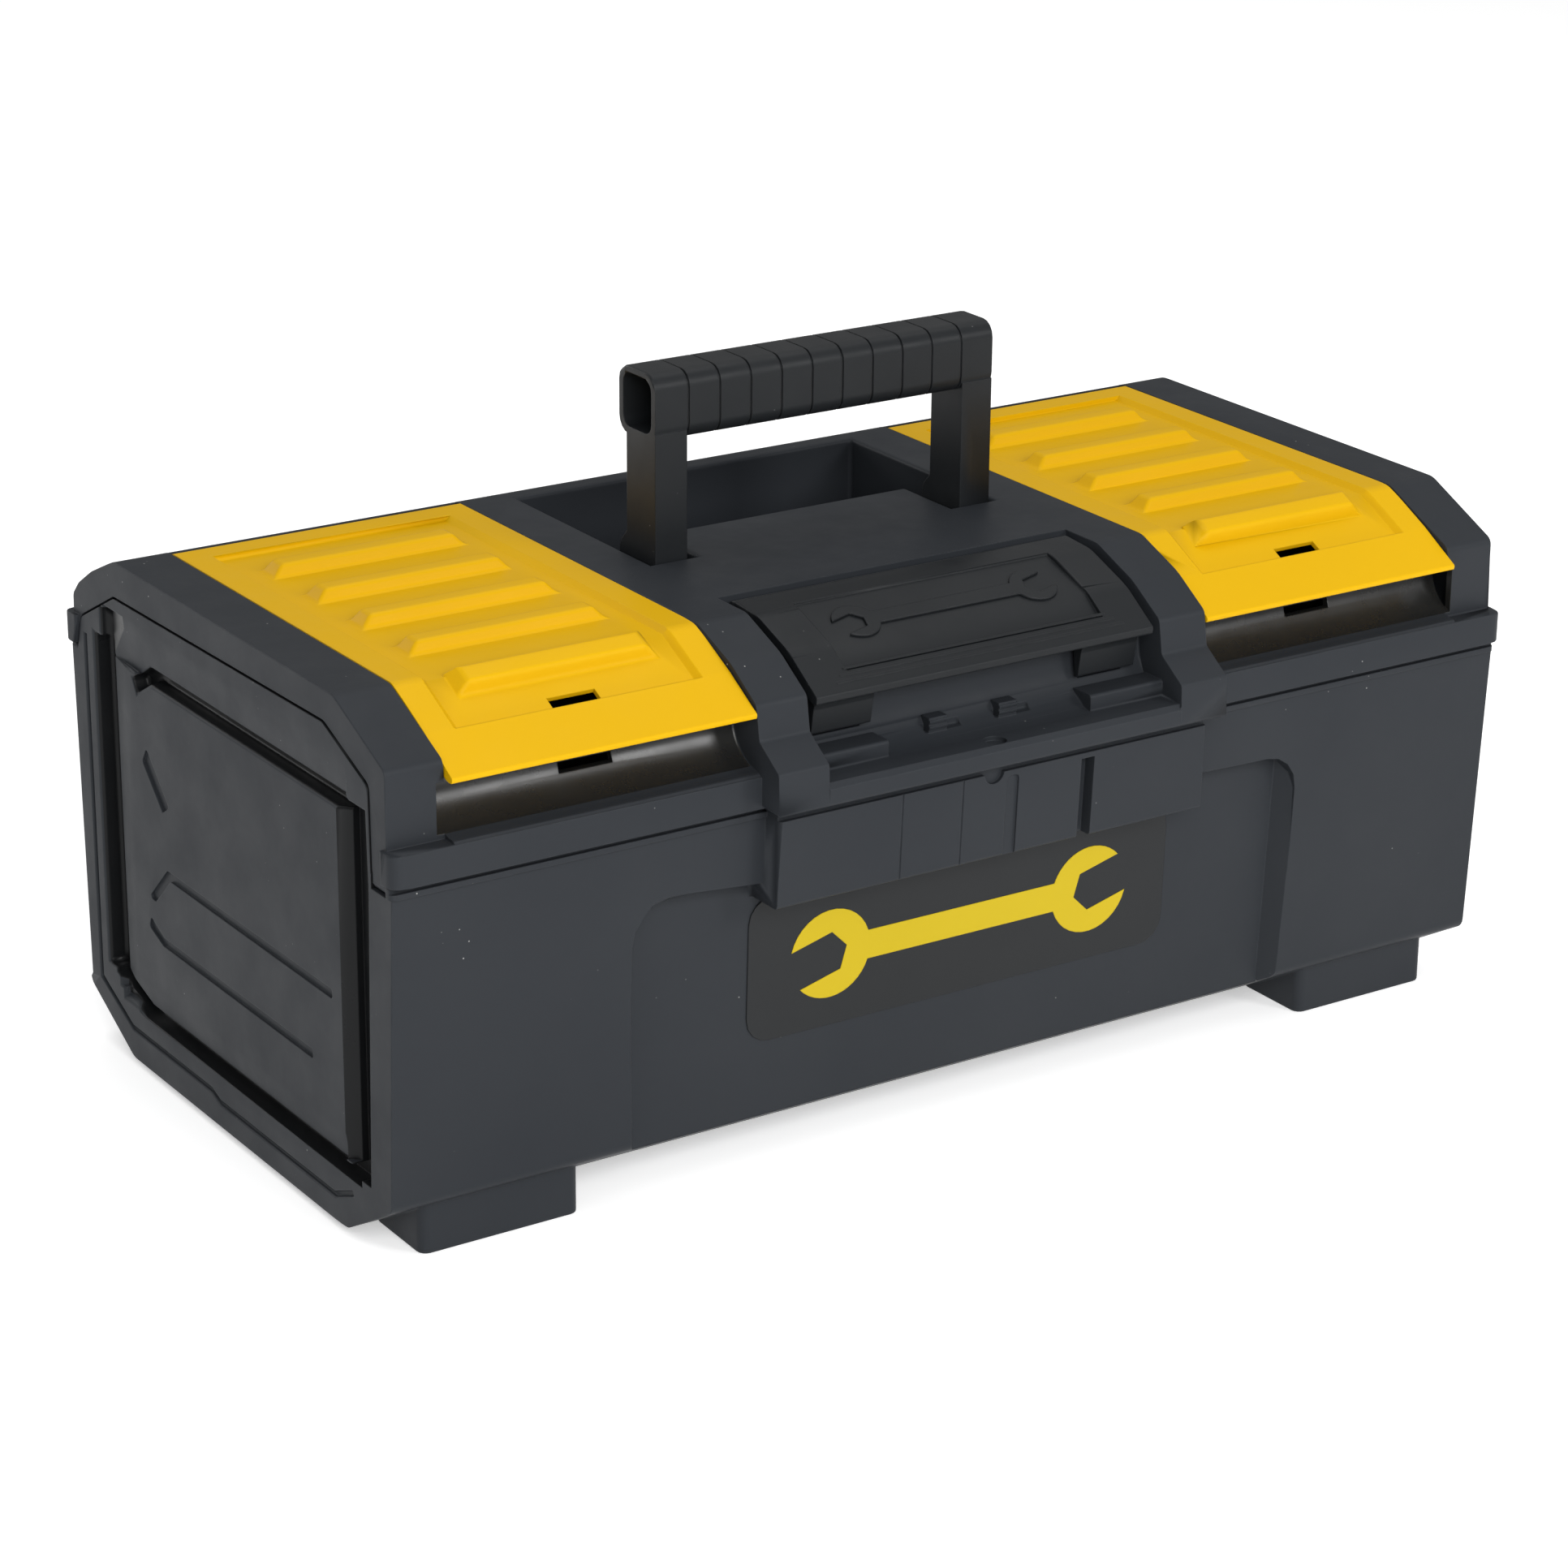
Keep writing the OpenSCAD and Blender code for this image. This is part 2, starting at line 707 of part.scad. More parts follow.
module cover_body() {
  outline = soft([
    [cover_axis[0], cover_axis[1] + cover_r], [-66, lid_top - 0.1, 9],
    [cover_path[2].x, cover_path[2].y, 22], [-98.8, 144.8, 0.8], [-98.4, 143.3, 0.6],
    [cover_under[3].x + 1.4, cover_under[3].y + 1.2], [cover_under[2].x, cover_under[2].y, 20],
    [cover_under[1].x, cover_under[1].y, 6], [cover_axis[0], cover_under[0].y]
  ]);
  along_x(outline, cover_x[0], cover_x[1]);
  rod(cover_axis, cover_r, cover_x[0], cover_x[1]);
}

module organizer_lid() {
  mid = (bay_in + bay_out) / 2;
  color(yellow) difference() {
    union() {
      difference() {
        cover_body();
        translate([0, cover_path[1].x, lid_top - 0.1])
          inset_prism(inset_back - cover_path[1].x, inset_deep);
        at_slope() translate([0, -slope_run, 0]) inset_prism(slope_run + 0.6, slope_inset_deep);
      }
      for (i = [0:3])
        translate([0, rib_first_y - i * rib_pitch, lid_top - 0.1 - inset_deep]) cover_rib();
      at_slope() translate([0, -3.4, -slope_inset_deep]) cover_rib();
    }
    at_slope() slab([mid - 7.7, -slope_run + 0.6, -8], [mid + 7.7, -slope_run + 5.4, 4]);
    rod(cover_axis, cover_pin_r + run_gap, 0, far);
  }
}

module organizer_lid_left() {
  mirror([1, 0, 0]) organizer_lid();
}

module organizer_lid_right() {
  organizer_lid();
}

// ---- carry handle ----

grip_front = grip_axis[0] - hub_r;
grip_back = grip_axis[0] + hub_r;
grip_low = grip_top - 20.7;
leg_back = 2.8;
grip_grooves = 10;

module grip_tube() {
  along_x(box_outline(grip_front, grip_low, grip_back, grip_top, 5), -grip_half, grip_half);
}

module grip_bore() {
  t = 2.2;
  along_x(box_outline(grip_front + t, grip_low + t, grip_back - t, grip_top - t, 3.4), -far, far);
}

// Fine grooves round the grip between the legs
module grip_marks() {
  inner = grip_half - leg_w - 0.6;
  for (i = [0:grip_grooves - 1]) {
    x = -inner + 2 * inner * i / (grip_grooves - 1);
    difference() {
      slab([x - 0.35, grip_front - 1, grip_low - 1], [x + 0.35, grip_back + 1, grip_top + 1]);
      along_x(box_outline(grip_front + 0.6, grip_low + 0.6, grip_back - 0.6, grip_top - 0.6, 4.6),
        x - 1, x + 1);
    }
  }
}

module handle_leg() {
  x0 = grip_half - leg_w;
  base = [[grip_front, grip_axis[1]], [grip_back, grip_axis[1]], [grip_back, lid_top + 1.5]];
  along_x(concat(base, [[leg_back, lid_top + 6], [leg_back, grip_low + 3],
    [grip_front, grip_low + 3]]), x0, grip_half);
  rod(grip_axis, hub_r, x0, grip_half);
}

module handle() {
  color(jet) difference() {
    union() {
      grip_tube();
      both_ends() handle_leg();
    }
    grip_bore();
    grip_marks();
    both_ends() rod(grip_axis, grip_pin_r + run_gap, grip_half - leg_w - 1, grip_half + 1);
  }
}

// ---- front latch ----

latch_half = 59.7;
plate_t = 3;
plate_path = [[latch_axis[0], latch_axis[1] + latch_r], [-67, 161.4], [-84, 155.2], [-96.6, 146.6]];
plate_under = shifted(plate_path, plate_t);
barrel_in = 47;

module latch_plate() {
  outline = soft([
    plate_path[0], [plate_path[1].x, plate_path[1].y, 14], [plate_path[2].x, plate_path[2].y, 20],
    [-98.4, 145.6, 0.9], [-98.1, 143.2, 0.8], [-96, 143.1, 0.8],
    [plate_under[3].x + 1.5, plate_under[3].y + 0.4],
    [plate_under[2].x, plate_under[2].y, 16], [plate_under[1].x, plate_under[1].y, 10],
    [latch_axis[0], latch_axis[1] + 0.6]
  ]);
  along_x(outline, -latch_half, latch_half);
  rod(latch_axis, latch_r, -latch_half, latch_half);
}

latch_slope = atan2(plate_path[2].y - plate_path[3].y, plate_path[2].x - plate_path[3].x);

// Sunk panel and its stepped lower border
module latch_face() {
  top = shifted(plate_path, 1);
  mid_half = 45.6;
  along_x([[-64, 164], [-64, 160.8], top[2], top[3] + [5, 2.8], plate_path[3] + [3, 4],
    [-80, 164]], -mid_half, mid_half);
}

module latch_steps() {
  for (i = [0:2])
    translate([0, plate_path[3].x, plate_path[3].y]) rotate([latch_slope, 0, 0])
      slab([-46.6 - 2.2 * i, 5.6 - 2.2 * i, -1.2], [46.6 + 2.2 * i, 6.5 - 2.2 * i, 0.35]);
}

// Two legs that reach down in front of the cove, each with a bead that snaps against a tongue
module latch_leg() {
  along_x(soft([[-95.4, 146], [-93.4, 140, 1], [-92.2, 132.4, 0.8], [-90.8, 131.8, 0.8],
    [-89.6, 136], [-89, 141], [-89, 149]]), tongue_x[0] - 1, tongue_x[1] + 1.5);
  along_x(soft([[-91.4, 132.6], [-86.2, 132.6, 0.6], [-85.2, 134, 0.6], [-86.2, 135.4, 0.6],
    [-90.6, 135.4]]), window_x[0] + 1, window_x[1] - 1);
}

module latch() {
  color(jet) difference() {
    union() {
      difference() {
        latch_plate();
        latch_face();
      }
      latch_steps();
      both_ends() latch_leg();
    }
    both_ends() rod(latch_axis, latch_pin_r + run_gap, 50, latch_half + 1);
  }
}

// ---- lift-out tray ----

tray_y = [-81, 94];
tray_top = tray_low + tray_h;
tray_wall = 2.2;
spine_y = 6;
spine_half_t = 1.5;
bar_top = 127.3;
bar_low = 119.3;
bar_half = 70;
back_wall_x = 62;
front_divider_x = 70;

module tray_cells() {
  front = spine_y - spine_half_t;
  back = spine_y + spine_half_t;
  low = tray_low + tray_wall;
  in_x = tray_half - tray_wall;
  along_z(box_outline(-in_x, tray_y[0] + tray_wall, in_x, front, 3), low, tray_top + 1);
  for (c = [[-in_x, -back_wall_x - 1], [-back_wall_x + 1, back_wall_x - 1], [back_wall_x + 1, in_x]])
    along_z(box_outline(c[0], back, c[1], tray_y[1] - tray_wall, 3), low, tray_top + 1);
}

module tray_handle() {
  intersection() {
    along_y(soft([[-bar_half, tray_low + 1], [bar_half, tray_low + 1], [bar_half, bar_top, 8],
      [-bar_half, bar_top, 8]]), spine_y - 6, spine_y + 6);
    union() {
      slab([-bar_half, spine_y - 3, tray_low], [bar_half, spine_y + 3, bar_top]);
      along_x(box_outline(spine_y - 5.5, bar_low, spine_y + 5.5, bar_top, 2.5), -bar_half, bar_half);
    }
  }
}

module tray_divider_guides() {
  for (s = [-1, 1]) for (y = [tray_y[0] + 1, spine_y - 3.4])
    slab([s * front_divider_x - 2.6, y, tray_low + 1], [s * front_divider_x + 2.6, y + 3, tray_top - 2]);
}

module tray_divider_slots() {
  for (s = [-1, 1])
    slab([s * front_divider_x - 1, tray_y[0] + tray_wall, tray_low + tray_wall],
      [s * front_divider_x + 1, spine_y - spine_half_t, tray_top + 1]);
}

module tray() {
  color(charcoal) difference() {
    union() {
      difference() {
        along_z(box_outline(-tray_half, tray_y[0], tray_half, tray_y[1], 5), tray_low, tray_top);
        tray_cells();
      }
      tray_handle();
      tray_divider_guides();
    }
    tray_divider_slots();
    along_y(box_outline(-bar_half + 12, tray_low + 12, bar_half - 12, bar_low, 3),
      spine_y - 10, spine_y + 10);
  }
}

module tray_divider() {
  color(slate) slab([front_divider_x - 0.8, tray_y[0] + tray_wall + 0.2, tray_low + tray_wall],
    [front_divider_x + 0.8, spine_y - spine_half_t - 0.2, tray_top - 3]);
}

module tray_divider_left() {
  mirror([1, 0, 0]) tray_divider();
}

module tray_divider_right() {
  tray_divider();
}

tub();
front_label();
rear_hinge_pin_left();
rear_hinge_pin_right();
main_lid();
organizer_pin_left();
organizer_pin_right();
handle_pin_left();
handle_pin_right();
latch_pin_left();
latch_pin_right();
left_divider_front();
left_divider_rear();
right_divider_front();
right_divider_rear();
organizer_lid_left();
organizer_lid_right();
handle();
latch();
tray();
tray_divider_left();
tray_divider_right();
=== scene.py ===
"""Looks for the toolbox: rounded shells over the CAD nodes, their plastics, the light and the camera.

Lengths are metres unless a comment says millimetres.
"""

import math

import bmesh
import bpy
from mathutils import Matrix, Vector
from mathutils.bvhtree import BVHTree
from mathutils.kdtree import KDTree


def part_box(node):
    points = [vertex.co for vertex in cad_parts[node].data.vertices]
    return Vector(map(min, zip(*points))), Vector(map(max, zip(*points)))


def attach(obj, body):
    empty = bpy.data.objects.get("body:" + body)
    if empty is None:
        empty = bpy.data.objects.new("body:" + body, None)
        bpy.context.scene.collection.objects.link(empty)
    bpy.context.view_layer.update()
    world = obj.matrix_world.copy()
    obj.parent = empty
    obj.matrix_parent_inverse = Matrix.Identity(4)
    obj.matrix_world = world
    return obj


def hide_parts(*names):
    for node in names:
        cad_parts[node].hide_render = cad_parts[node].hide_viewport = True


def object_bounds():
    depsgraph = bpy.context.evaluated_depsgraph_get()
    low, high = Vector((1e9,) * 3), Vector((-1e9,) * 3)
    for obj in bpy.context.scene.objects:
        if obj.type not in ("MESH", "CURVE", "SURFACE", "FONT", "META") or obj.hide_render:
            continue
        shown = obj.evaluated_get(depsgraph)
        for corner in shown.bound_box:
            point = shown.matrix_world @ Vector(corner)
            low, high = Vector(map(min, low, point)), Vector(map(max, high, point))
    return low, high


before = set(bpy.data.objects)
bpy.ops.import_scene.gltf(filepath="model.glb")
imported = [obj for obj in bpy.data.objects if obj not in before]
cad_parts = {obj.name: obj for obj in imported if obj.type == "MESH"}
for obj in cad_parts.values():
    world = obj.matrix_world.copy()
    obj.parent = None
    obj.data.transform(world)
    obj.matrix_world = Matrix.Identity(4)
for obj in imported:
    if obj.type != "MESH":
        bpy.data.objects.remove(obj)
cad_low, cad_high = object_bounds()
MM = 0.001

# Rounding of the shells
SHARP = math.radians(28)      # an edge flatter than this is part of a smooth curve
MERGED = math.radians(0.4)    # faces flatter to each other than this are joined up
NEARLY_STRAIGHT = math.radians(50)
ROOM = 0.42                   # share of the space beside an edge that its rounding may take
ROOM_ON_CURVE = 0.45          # the same where the next edge runs on nearly straight
WIDTH_STEPS = (1.0, 0.7, 0.5, 0.35, 0.25)   # shares of the wanted width, tried in this order
REPAIR_ROUNDS = 16            # how often the roundings nearest to a fault are taken off
STRAY = 0.35                  # share of the width by which a rounding may leave the CAD surface


# ---- materials ----

class Nodes:
    """A short way to write a material's node tree."""

    def __init__(self, name):
        self.material = bpy.data.materials.new(name)
        self.material.use_nodes = True
        self.tree = self.material.node_tree
        self.shader = self.tree.nodes["Principled BSDF"]
        self.place = self.add("ShaderNodeTexCoord").outputs["Object"]

    def add(self, kind, **settings):
        node = self.tree.nodes.new(kind)
        for key, value in settings.items():
            if hasattr(node, key):
                setattr(node, key, value)
            else:
                node.inputs[key.replace("_", " ")].default_value = value
        return node

    def link(self, output, to):
        self.tree.links.new(output, to)

    def noise(self, scale, detail=2.0, roughness=0.5):
        """A noise value, with its scale in ripples a metre."""
        n = self.add("ShaderNodeTexNoise", Scale=scale, Detail=detail, Roughness=roughness)
        self.link(self.place, n.inputs["Vector"])
        return n.outputs["Fac"]

    def cells(self, scale):
        """Distance to the nearest of scattered points."""
        n = self.add("ShaderNodeTexVoronoi", Scale=scale)
        self.link(self.place, n.inputs["Vector"])
        return n.outputs["Distance"]

    def ramp(self, value, low, high, to_low=0.0, to_high=1.0):
        n = self.add("ShaderNodeMapRange")
        n.clamp = True
        self.link(value, n.inputs["Value"])
        n.inputs["From Min"].default_value = low
        n.inputs["From Max"].default_value = high
        n.inputs["To Min"].default_value = to_low
        n.inputs["To Max"].default_value = to_high
        return n.outputs["Result"]

    def math(self, operation, a, b):
        n = self.add("ShaderNodeMath")
        n.operation = operation
        for socket, value in zip(n.inputs, (a, b)):
            if isinstance(value, (int, float)):
                socket.default_value = value
            else:
                self.link(value, socket)
        return n.outputs["Value"]

    def mix(self, factor, a, b):
        """A blend of two colours. Inputs 6 and 7 and output 2 are the mix node's colour sockets."""
        n = self.add("ShaderNodeMix")
        n.data_type = "RGBA"
        self.link(factor, n.inputs["Factor"])
        for socket, value in ((n.inputs[6], a), (n.inputs[7], b)):
            if isinstance(value, tuple):
                socket.default_value = (*value, 1.0)
            else:
                self.link(value, socket)
        return n.outputs[2]

    def bump(self, height, strength, distance, under=None):
        n = self.add("ShaderNodeBump")
        n.inputs["Strength"].default_value = strength
        n.inputs["Distance"].default_value = distance
        self.link(height, n.inputs["Height"])
        if under is not None:
            self.link(under, n.inputs["Normal"])
        return n.outputs["Normal"]


DUST = (0.34, 0.34, 0.33)


def plastic(name, base, light, rough, grain, specks=0.0, gloss_spread=0.06, specular=0.5, edge_wear_and_highlight=0.35):
    """Moulded plastic: a base colour that drifts a little, a mould grain, paler edges that are partly wear
    and partly a painted highlight, and dust.
    """
    n = Nodes(name)
    drift = n.ramp(n.noise(9.0, 3.0), 0.3, 0.7)
    fine = n.noise(1900.0, 1.0, 0.4)
    soft_edge = n.add("ShaderNodeBevel")
    soft_edge.samples = 4
    soft_edge.inputs["Radius"].default_value = 0.5 * MM
    flat = n.add("ShaderNodeNewGeometry")
    turned = n.add("ShaderNodeVectorMath")
    turned.operation = "DOT_PRODUCT"
    n.link(soft_edge.outputs["Normal"], turned.inputs[0])
    n.link(flat.outputs["Normal"], turned.inputs[1])
    # Edges turn paler: partly wear, mottled by noise, and partly a painted highlight along every rounded
    # edge.
    rubbed_and_highlit = n.math("MULTIPLY", n.ramp(turned.outputs["Value"], 0.9, 0.998, edge_wear_and_highlight, 0.0),
                    n.ramp(n.noise(140.0, 3.0), 0.35, 0.6, 0.3, 1.0))
    pale = tuple(min(1.0, 1.9 * c + 0.012) for c in light)
    colour = n.mix(rubbed_and_highlit, n.mix(drift, base, light), pale)
    if specks > 0:
        dust = n.math("MULTIPLY", n.ramp(n.cells(210.0), 0.03, 0.06, 1.0, 0.0),
                      n.ramp(n.noise(24.0, 2.0), 0.57, 0.68, 0.0, specks))
        colour = n.mix(dust, colour, DUST)
    n.link(colour, n.shader.inputs["Base Color"])
    smear = n.ramp(n.noise(55.0, 4.0, 0.6), 0.3, 0.7, rough - gloss_spread, rough + gloss_spread)
    n.link(smear, n.shader.inputs["Roughness"])
    n.shader.inputs["Specular IOR Level"].default_value = specular
    n.link(n.bump(fine, grain, 0.06 * MM, soft_edge.outputs["Normal"]), n.shader.inputs["Normal"])
    return n.material


slate = plastic("slate_plastic", (0.0195, 0.0219, 0.0258), (0.0237, 0.0262, 0.0300), 0.48, 0.16,
                specks=0.8, specular=0.1)
jet = plastic("jet_plastic", (0.0085, 0.0097, 0.011), (0.0112, 0.0125, 0.014), 0.42, 0.10,
              specks=0.5, specular=0.18)
gloss = plastic("scoop_plastic", (0.010, 0.010, 0.010), (0.014, 0.014, 0.013), 0.28, 0.03,
                gloss_spread=0.05)
# Near-black plastic for the deep channels round the end panels: its darkness is painted shade of these
# recesses.
channel_shade = plastic("painted_channel_shade", (0.0060, 0.0064, 0.0070), (0.0078, 0.0083, 0.0090), 0.32, 0.03,
                  specular=0.15, edge_wear_and_highlight=0.2)
yellow = plastic("yellow_plastic", (0.56, 0.322, 0.001), (0.59, 0.338, 0.002), 0.45, 0.12,
                 specular=0.08, edge_wear_and_highlight=0.15)
print_yellow = plastic("print_yellow", (0.42, 0.31, 0.008), (0.45, 0.33, 0.010), 0.35, 0.02,
                       specular=0.12, edge_wear_and_highlight=0.0)
label_film = plastic("label_film", (0.0105, 0.0115, 0.0125), (0.0125, 0.0135, 0.0145), 0.38, 0.01,
                     specular=0.2, edge_wear_and_highlight=0.0)
tray_grey = plastic("tray_plastic", (0.050, 0.054, 0.060), (0.060, 0.064, 0.070), 0.48, 0.2, specular=0.35)
divider_grey = plastic("divider_plastic", (0.066, 0.070, 0.077), (0.078, 0.083, 0.090), 0.42, 0.08,
                       specular=0.35)
steel = plastic("pin_steel", (0.50, 0.51, 0.53), (0.58, 0.59, 0.60), 0.30, 0.08, edge_wear_and_highlight=0.0)
steel.node_tree.nodes["Principled BSDF"].inputs["Metallic"].default_value = 1.0


# ---- rounded shells over the CAD nodes ----

def gap_to_segment(p, a, b):
    """Distance from point p to the segment from a to b."""
    along = b - a
    share = max(0.0, min(1.0, (p - a).dot(along) / along.length_squared))
    return (p - a - along * share).length


def edge_limit(edge, width):
    """The widest rounding, up to width, that this edge can take without running into its neighbours."""
    limit = width
    a, b = (v.co for v in edge.verts)
    for face in edge.link_faces:
        for other in face.edges:
            if other is edge:
                continue
            c, d = (v.co for v in other.verts)
            shared = set(edge.verts) & set(other.verts)
            if shared:
                corner = shared.pop()
                out = other.other_vert(corner).co - corner.co
                mine = edge.other_vert(corner).co - corner.co
                bend = math.pi - out.angle(mine, 0.0)
                if bend < NEARLY_STRAIGHT:
                    limit = min(limit, ROOM_ON_CURVE * out.length / max(math.tan(bend / 2), 0.02))
                else:
                    limit = min(limit, ROOM * out.length * max(math.sin(bend), 0.05))
            else:
                gap = min(gap_to_segment(c, a, b), gap_to_segment(d, a, b),
                          gap_to_segment(a, c, d), gap_to_segment(b, c, d))
                limit = min(limit, ROOM * gap)
    return limit


def faults(piece, tree, reach):
    """Points of the rounded mesh that have strayed from the CAD surface or face the wrong way."""
    shape = piece.evaluated_get(bpy.context.evaluated_depsgraph_get()).to_mesh()
    shape.calc_loop_triangles()
    bad = []
    for t in shape.loop_triangles:
        corners = [shape.vertices[i].co for i in t.vertices]
        middle = (corners[0] + corners[1] + corners[2]) / 3
        normal = (corners[1] - corners[0]).cross(corners[2] - corners[0])
        if normal.length < 1e-9:
            continue
        _, face_normal, _, distance = tree.find_nearest(middle)
        turned_over = normal.normalized().dot(face_normal) < 0.2 and distance < 0.2 * reach
        if distance > reach or turned_over:
            bad.extend(corners)
    piece.to_mesh_clear()
    return bad


def inside(point, low, high):
    """True if the point lies between the corners low and high, or in that box's mirror image on the left."""
    near = (abs(point.x), point.y, point.z)
    return all(low[i] <= near[i] <= high[i] for i in range(3))


def shell(node, name, body, material, width, wide=(), segments=2, patches=()):
    """A copy of a CAD node with its flat faces joined up and its sharp edges rounded to width.

    wide lists (low, high, width) boxes with a rounding of their own, and patches lists
    (low, high, material) boxes whose faces take another material.
    """
    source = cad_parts[node]
    bm = bmesh.new()
    bm.from_mesh(source.data)
    bmesh.ops.remove_doubles(bm, verts=bm.verts, dist=1e-6)
    tree = BVHTree.FromBMesh(bm)
    bmesh.ops.dissolve_limit(bm, angle_limit=MERGED, verts=bm.verts, edges=bm.edges)
    weights = bm.edges.layers.float.new("bevel_weight_edge")
    most = max([width] + [w for _, _, w in wide])
    for e in bm.edges:
        if len(e.link_faces) != 2 or e.calc_face_angle(0.0) < SHARP:
            continue
        want = width
        for low, high, w in wide:
            if all(inside(v.co, low, high) for v in e.verts):
                want = w
        free = edge_limit(e, want)
        for share in WIDTH_STEPS:
            if free > 0.98 * share * want:
                e[weights] = share * want / most
                break
    mesh = bpy.data.meshes.new(name)
    bm.to_mesh(mesh)
    bm.free()
    for p in mesh.polygons:
        p.use_smooth = True
    piece = bpy.data.objects.new(name, mesh)
    bpy.context.scene.collection.objects.link(piece)
    bevel = piece.modifiers.new("rounded_edges", "BEVEL")
    bevel.limit_method = "WEIGHT"
    bevel.width = most
    bevel.segments = segments
    bevel.use_clamp_overlap = False
    weight = mesh.attributes["bevel_weight_edge"].data
    ends = [tuple(mesh.vertices[i].co for i in e.vertices) for e in mesh.edges]
    for attempt in range(REPAIR_ROUNDS):
        bad = faults(piece, tree, STRAY * most + 0.1 * MM)
        if not bad:
            break
        points = KDTree(len(bad))
        for i, p in enumerate(bad):
            points.insert(p, i)
        points.balance()
        near = (1.2 + 0.3 * attempt) * width
        for i, (a, b) in enumerate(ends):
            if weight[i].value > 0 and min(points.find(a)[2], points.find(b)[2]) < near:
                weight[i].value = 0.0
        mesh.update()
    mark_sharp(mesh)
    settle = piece.modifiers.new("flat_faces_stay_flat", "WEIGHTED_NORMAL")
    settle.keep_sharp = True
    settle.weight = 80
    piece.data.materials.append(material)
    for low, high, other in patches:
        piece.data.materials.append(other)
        for p in mesh.polygons:
            if inside(p.center, low, high):
                p.material_index = len(piece.data.materials) - 1
    place(piece, body, node)


def mark_sharp(mesh):
    """Keeps a crease at every steep edge that the rounding leaves alone."""
    bm = bmesh.new()
    bm.from_mesh(mesh)
    weights = bm.edges.layers.float["bevel_weight_edge"]
    for e in bm.edges:
        if len(e.link_faces) == 2 and e.calc_face_angle(0.0) >= SHARP and e[weights] == 0.0:
            e.smooth = False
    bm.to_mesh(mesh)
    bm.free()


def place(piece, body, node):
    """The piece rides its body and stands for the CAD node."""
    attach(piece, body)
    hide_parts(node)


lid_low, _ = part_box("main_lid")
latch_low, latch_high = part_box("latch")
cover_low, cover_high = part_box("organizer_lid_right")
tub_low, tub_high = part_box("tub")

# The two uprights beside the latch, which have rounder edges than the rest of the lid
EAR_BACK = -40 * MM
ears = ((latch_high[0], lid_low[1] + 1.5 * MM, latch_low[2] - 6 * MM),
        (cover_low[0] + 2 * MM, EAR_BACK, cover_high[2]))

# The glossy finger scoops under the lips of the yellow lids
scoops = ((cover_low[0] - 1 * MM, cover_low[1] - 2 * MM, cover_low[2] - 15 * MM),
          (cover_high[0] + 3 * MM, cover_low[1] + 14 * MM, cover_low[2] + 1.5 * MM))

# The deep channels round the raised panel of each end face. Floor and top are depths, measured inwards
# from the end of the tub.
CHANNEL_FLOOR = 7.5 * MM
CHANNEL_TOP = 2.3 * MM
CHANNEL_FRONT = -90 * MM
CHANNEL_BACK = 92 * MM
channels = ((tub_high[0] - CHANNEL_FLOOR, CHANNEL_FRONT, tub_low[2] + 14 * MM),
            (tub_high[0] - CHANNEL_TOP, CHANNEL_BACK, tub_high[2]))

# The channel faces take the near-black material, which paints the shade that falls in them.
shell("tub", "tub_shell", "tub", slate, 1.4 * MM, patches=((*channels, channel_shade),))
shell("main_lid", "main_lid_shell", "main_lid", slate, 1.3 * MM,
      wide=((*ears, 2.0 * MM),), patches=((*scoops, gloss),))
for side in ("left", "right"):
    cover = "organizer_lid_" + side
    shell(cover, "yellow_lid_" + side, cover, yellow, 1.2 * MM, segments=3)
shell("handle", "handle_shell", "handle", jet, 1.6 * MM, segments=3)
shell("latch", "latch_shell", "latch", jet, 0.8 * MM)
shell("tray", "tray_shell", "tray", tray_grey, 0.8 * MM)

# The materials of the CAD nodes. The ones that a shell stands for are not seen.
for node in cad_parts:
    if "pin" in node:
        material = steel
    elif node == "front_label":
        material = label_film
    elif "divider" in node:
        material = divider_grey
    else:
        material = jet
    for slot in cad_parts[node].material_slots:
        slot.material = material


# ---- marks: a generic spanner on the label and on the latch ----

def arc(radius, start, end, steps):
    """Points on a circle about the origin, by angle in degrees."""
    turns = [math.radians(start + (end - start) * i / steps) for i in range(steps + 1)]
    return [(radius * math.cos(t), radius * math.sin(t)) for t in turns]


def spanner(length, head, shank, jaw):
    """Outline, in millimetres, of an open-ended spanner with jaws of half width jaw.

    head is the radius of its heads and shank is half the width of its shank.
    """
    turn = 15
    tilt = math.radians(turn)
    grip = math.degrees(math.asin(shank / head))
    mouth = math.degrees(math.asin(jaw / head))
    slot = [(-0.15 * head, jaw), (-0.42 * head, 0.0), (-0.15 * head, -jaw)]
    slot = [(x * math.cos(tilt) - y * math.sin(tilt), x * math.sin(tilt) + y * math.cos(tilt))
            for x, y in slot]
    half = arc(head, 180 - grip, turn + mouth, 14) + slot + arc(head, turn - mouth, grip - 180, 14)
    half = [(x + length / 2 - head, y) for x, y in half]
    return half + [(-x, -y) for x, y in half]


def hit(node, start, way):
    """Where a ray from start, in millimetres, meets a CAD node."""
    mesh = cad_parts[node].data
    bm = bmesh.new()
    bm.from_mesh(mesh)
    found, _, _, _ = BVHTree.FromBMesh(bm).ray_cast(Vector(start) * MM, Vector(way))
    bm.free()
    return found


SUNK = 0.1 * MM


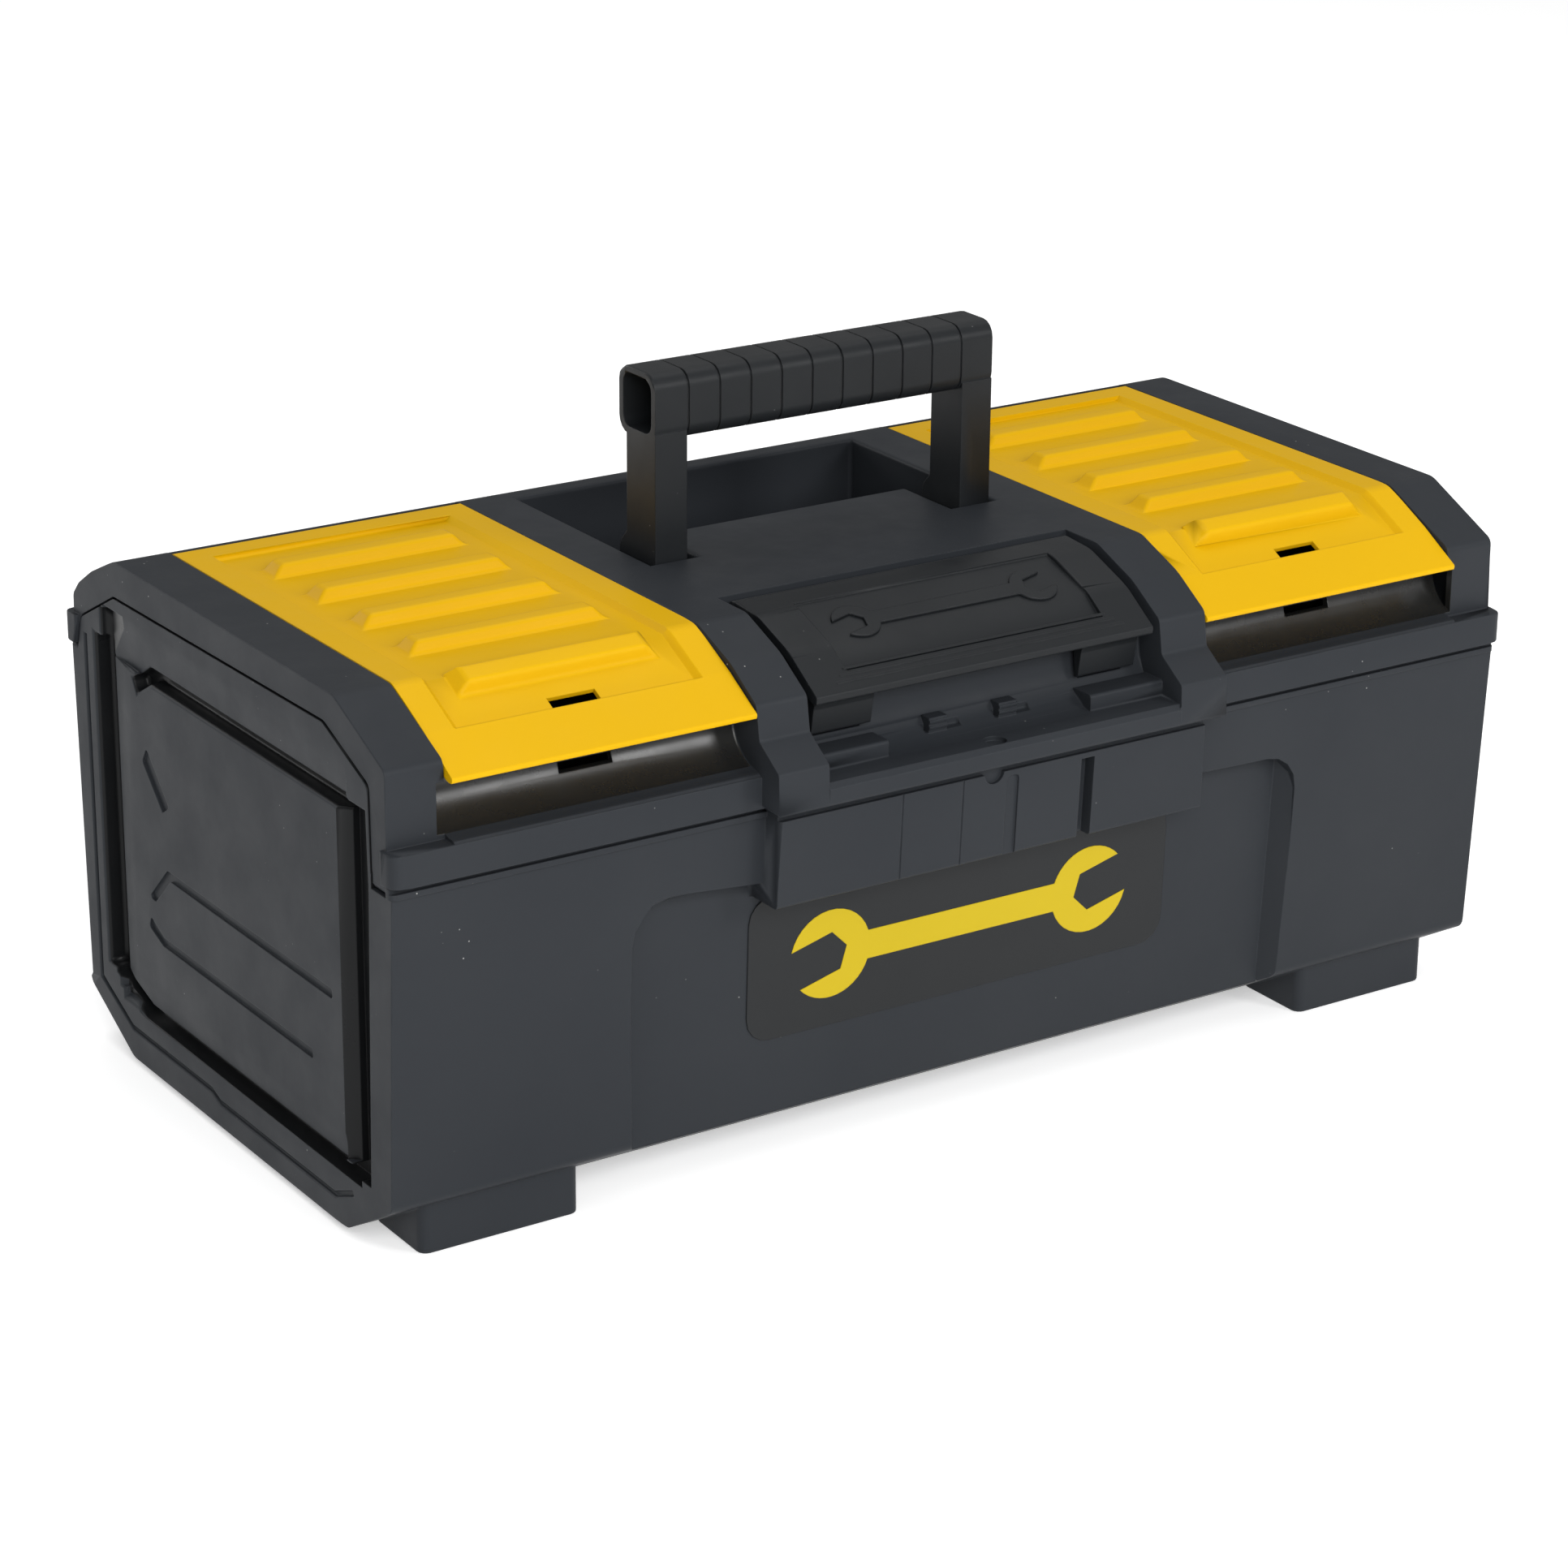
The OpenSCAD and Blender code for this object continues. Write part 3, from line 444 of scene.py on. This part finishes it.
def mark(name, body, material, outline, centre, up, thick):
    """A raised mark on the surface through centre whose upward direction is up.

    Its outline is in millimetres. It stands thick above the surface and reaches SUNK below it.
    """
    up = up.normalized()
    along = Vector((1, 0, 0))
    out = along.cross(up)
    bm = bmesh.new()
    ring = [bm.verts.new(centre + along * (x * MM) + up * (y * MM) - out * SUNK) for x, y in outline]
    base = bm.faces.new(ring)
    top = bmesh.ops.extrude_face_region(bm, geom=[base])
    moved = [v for v in top["geom"] if isinstance(v, bmesh.types.BMVert)]
    bmesh.ops.translate(bm, vec=out * (thick + SUNK), verts=moved)
    bmesh.ops.recalc_face_normals(bm, faces=bm.faces)
    mesh = bpy.data.meshes.new(name)
    bm.to_mesh(mesh)
    bm.free()
    piece = bpy.data.objects.new(name, mesh)
    bpy.context.scene.collection.objects.link(piece)
    rounded = piece.modifiers.new("rounded_edges", "BEVEL")
    rounded.width = 0.35 * thick
    rounded.segments = 2
    rounded.limit_method = "ANGLE"
    rounded.angle_limit = math.radians(40)
    piece.data.materials.append(material)
    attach(piece, body)


# Each mark is centred between two points of the surface, which rays from in front or above find.
label_low, label_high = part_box("front_label")
label_x = (label_low[0] + label_high[0]) / 2 / MM
label_z = (label_low[2] + label_high[2]) / 2 / MM
lower = hit("front_label", (label_x, -200, label_z - 5), (0, 1, 0))
upper = hit("front_label", (label_x, -200, label_z + 5), (0, 1, 0))
mark("label_spanner", "tub", print_yellow,
     spanner(length=122, head=14, shank=4.6, jaw=6.4), (lower + upper) / 2, upper - lower, 0.12 * MM)
lower = hit("latch", (0, -79.5, 200), (0, 0, -1))
upper = hit("latch", (0, -72.5, 200), (0, 0, -1))
mark("latch_spanner", "latch", jet,
     spanner(length=78, head=7.4, shank=2.8, jaw=3.5), (lower + upper) / 2, upper - lower, 0.9 * MM)


# ---- floor, light and camera ----

FLOOR_HALF = 12.0


def stage_material():
    """A near-white floor that glows a little, so that it comes out as white as the photo's."""
    n = Nodes("pale_floor")
    n.link(n.mix(n.ramp(n.noise(3.0, 2.0), 0.3, 0.7), (0.86, 0.86, 0.86), (0.89, 0.89, 0.89)),
           n.shader.inputs["Base Color"])
    n.shader.inputs["Roughness"].default_value = 0.85
    n.shader.inputs["Emission Color"].default_value = (1.0, 1.0, 1.0, 1.0)
    n.shader.inputs["Emission Strength"].default_value = 0.38
    return n.material


bm = bmesh.new()
bmesh.ops.create_grid(bm, x_segments=1, y_segments=1, size=FLOOR_HALF)
floor_mesh = bpy.data.meshes.new("floor")
bm.to_mesh(floor_mesh)
bm.free()
floor = bpy.data.objects.new("floor", floor_mesh)
bpy.context.scene.collection.objects.link(floor)
floor.data.materials.append(stage_material())

# A sky that brightens from the horizon upwards
world = bpy.data.worlds.new("studio")
world.use_nodes = True
sky = world.node_tree.nodes
direction = sky.new("ShaderNodeTexCoord")
height = sky.new("ShaderNodeSeparateXYZ")
level = sky.new("ShaderNodeMapRange")
level.inputs["From Min"].default_value = 0.0
level.inputs["From Max"].default_value = 0.75
level.inputs["To Min"].default_value = 0.10
level.inputs["To Max"].default_value = 0.68
world.node_tree.links.new(direction.outputs["Generated"], height.inputs["Vector"])
world.node_tree.links.new(height.outputs["Z"], level.inputs["Value"])
world.node_tree.links.new(level.outputs["Result"], sky["Background"].inputs["Strength"])
sky["Background"].inputs["Color"].default_value = (1.0, 1.0, 1.0, 1.0)
bpy.context.scene.world = world


def softbox(name, spot, target, size, power):
    """A rectangular light of that size at spot, turned towards target, with its power in watts."""
    data = bpy.data.lights.new(name, "AREA")
    data.shape = "RECTANGLE"
    data.size, data.size_y = size
    data.energy = power
    lamp = bpy.data.objects.new(name, data)
    bpy.context.scene.collection.objects.link(lamp)
    lamp.location = spot
    lamp.rotation_mode = "QUATERNION"
    lamp.rotation_quaternion = (Vector(target) - Vector(spot)).to_track_quat("-Z", "Y")


middle = (cad_low + cad_high) / 2
softbox("key_front", (-0.5, -1.6, 0.95), middle, (1.2, 0.8), 27)
softbox("key_right", (0.75, -1.35, 0.8), middle, (0.35, 0.5), 7)
softbox("rim_top", (0.3, 0.3, 1.5), middle, (1.0, 0.6), 4)
softbox("fill_back", (-0.7, 1.6, 0.6), middle, (1.0, 0.5), 6)

# The camera looks down at the left end and the front. Its axes are the directions it sees as right,
# down and ahead.
camera_data = bpy.data.cameras.new("camera")
camera_data.lens = 100.05
camera_data.sensor_width = 36.0
camera = bpy.data.objects.new("camera", camera_data)
bpy.context.scene.collection.objects.link(camera)
right = Vector((0.836, -0.5486, 0.0084))
down = Vector((-0.1876, -0.3001, -0.9353))
ahead = Vector((0.5157, 0.7804, -0.3538))
turn = Matrix((right, -down, -ahead)).transposed().to_4x4()
stand = Matrix.Translation((-0.7042, -1.0572, 0.5568))
camera.matrix_world = stand @ turn
bpy.context.scene.camera = camera
bpy.context.scene.view_settings.view_transform = "Standard"
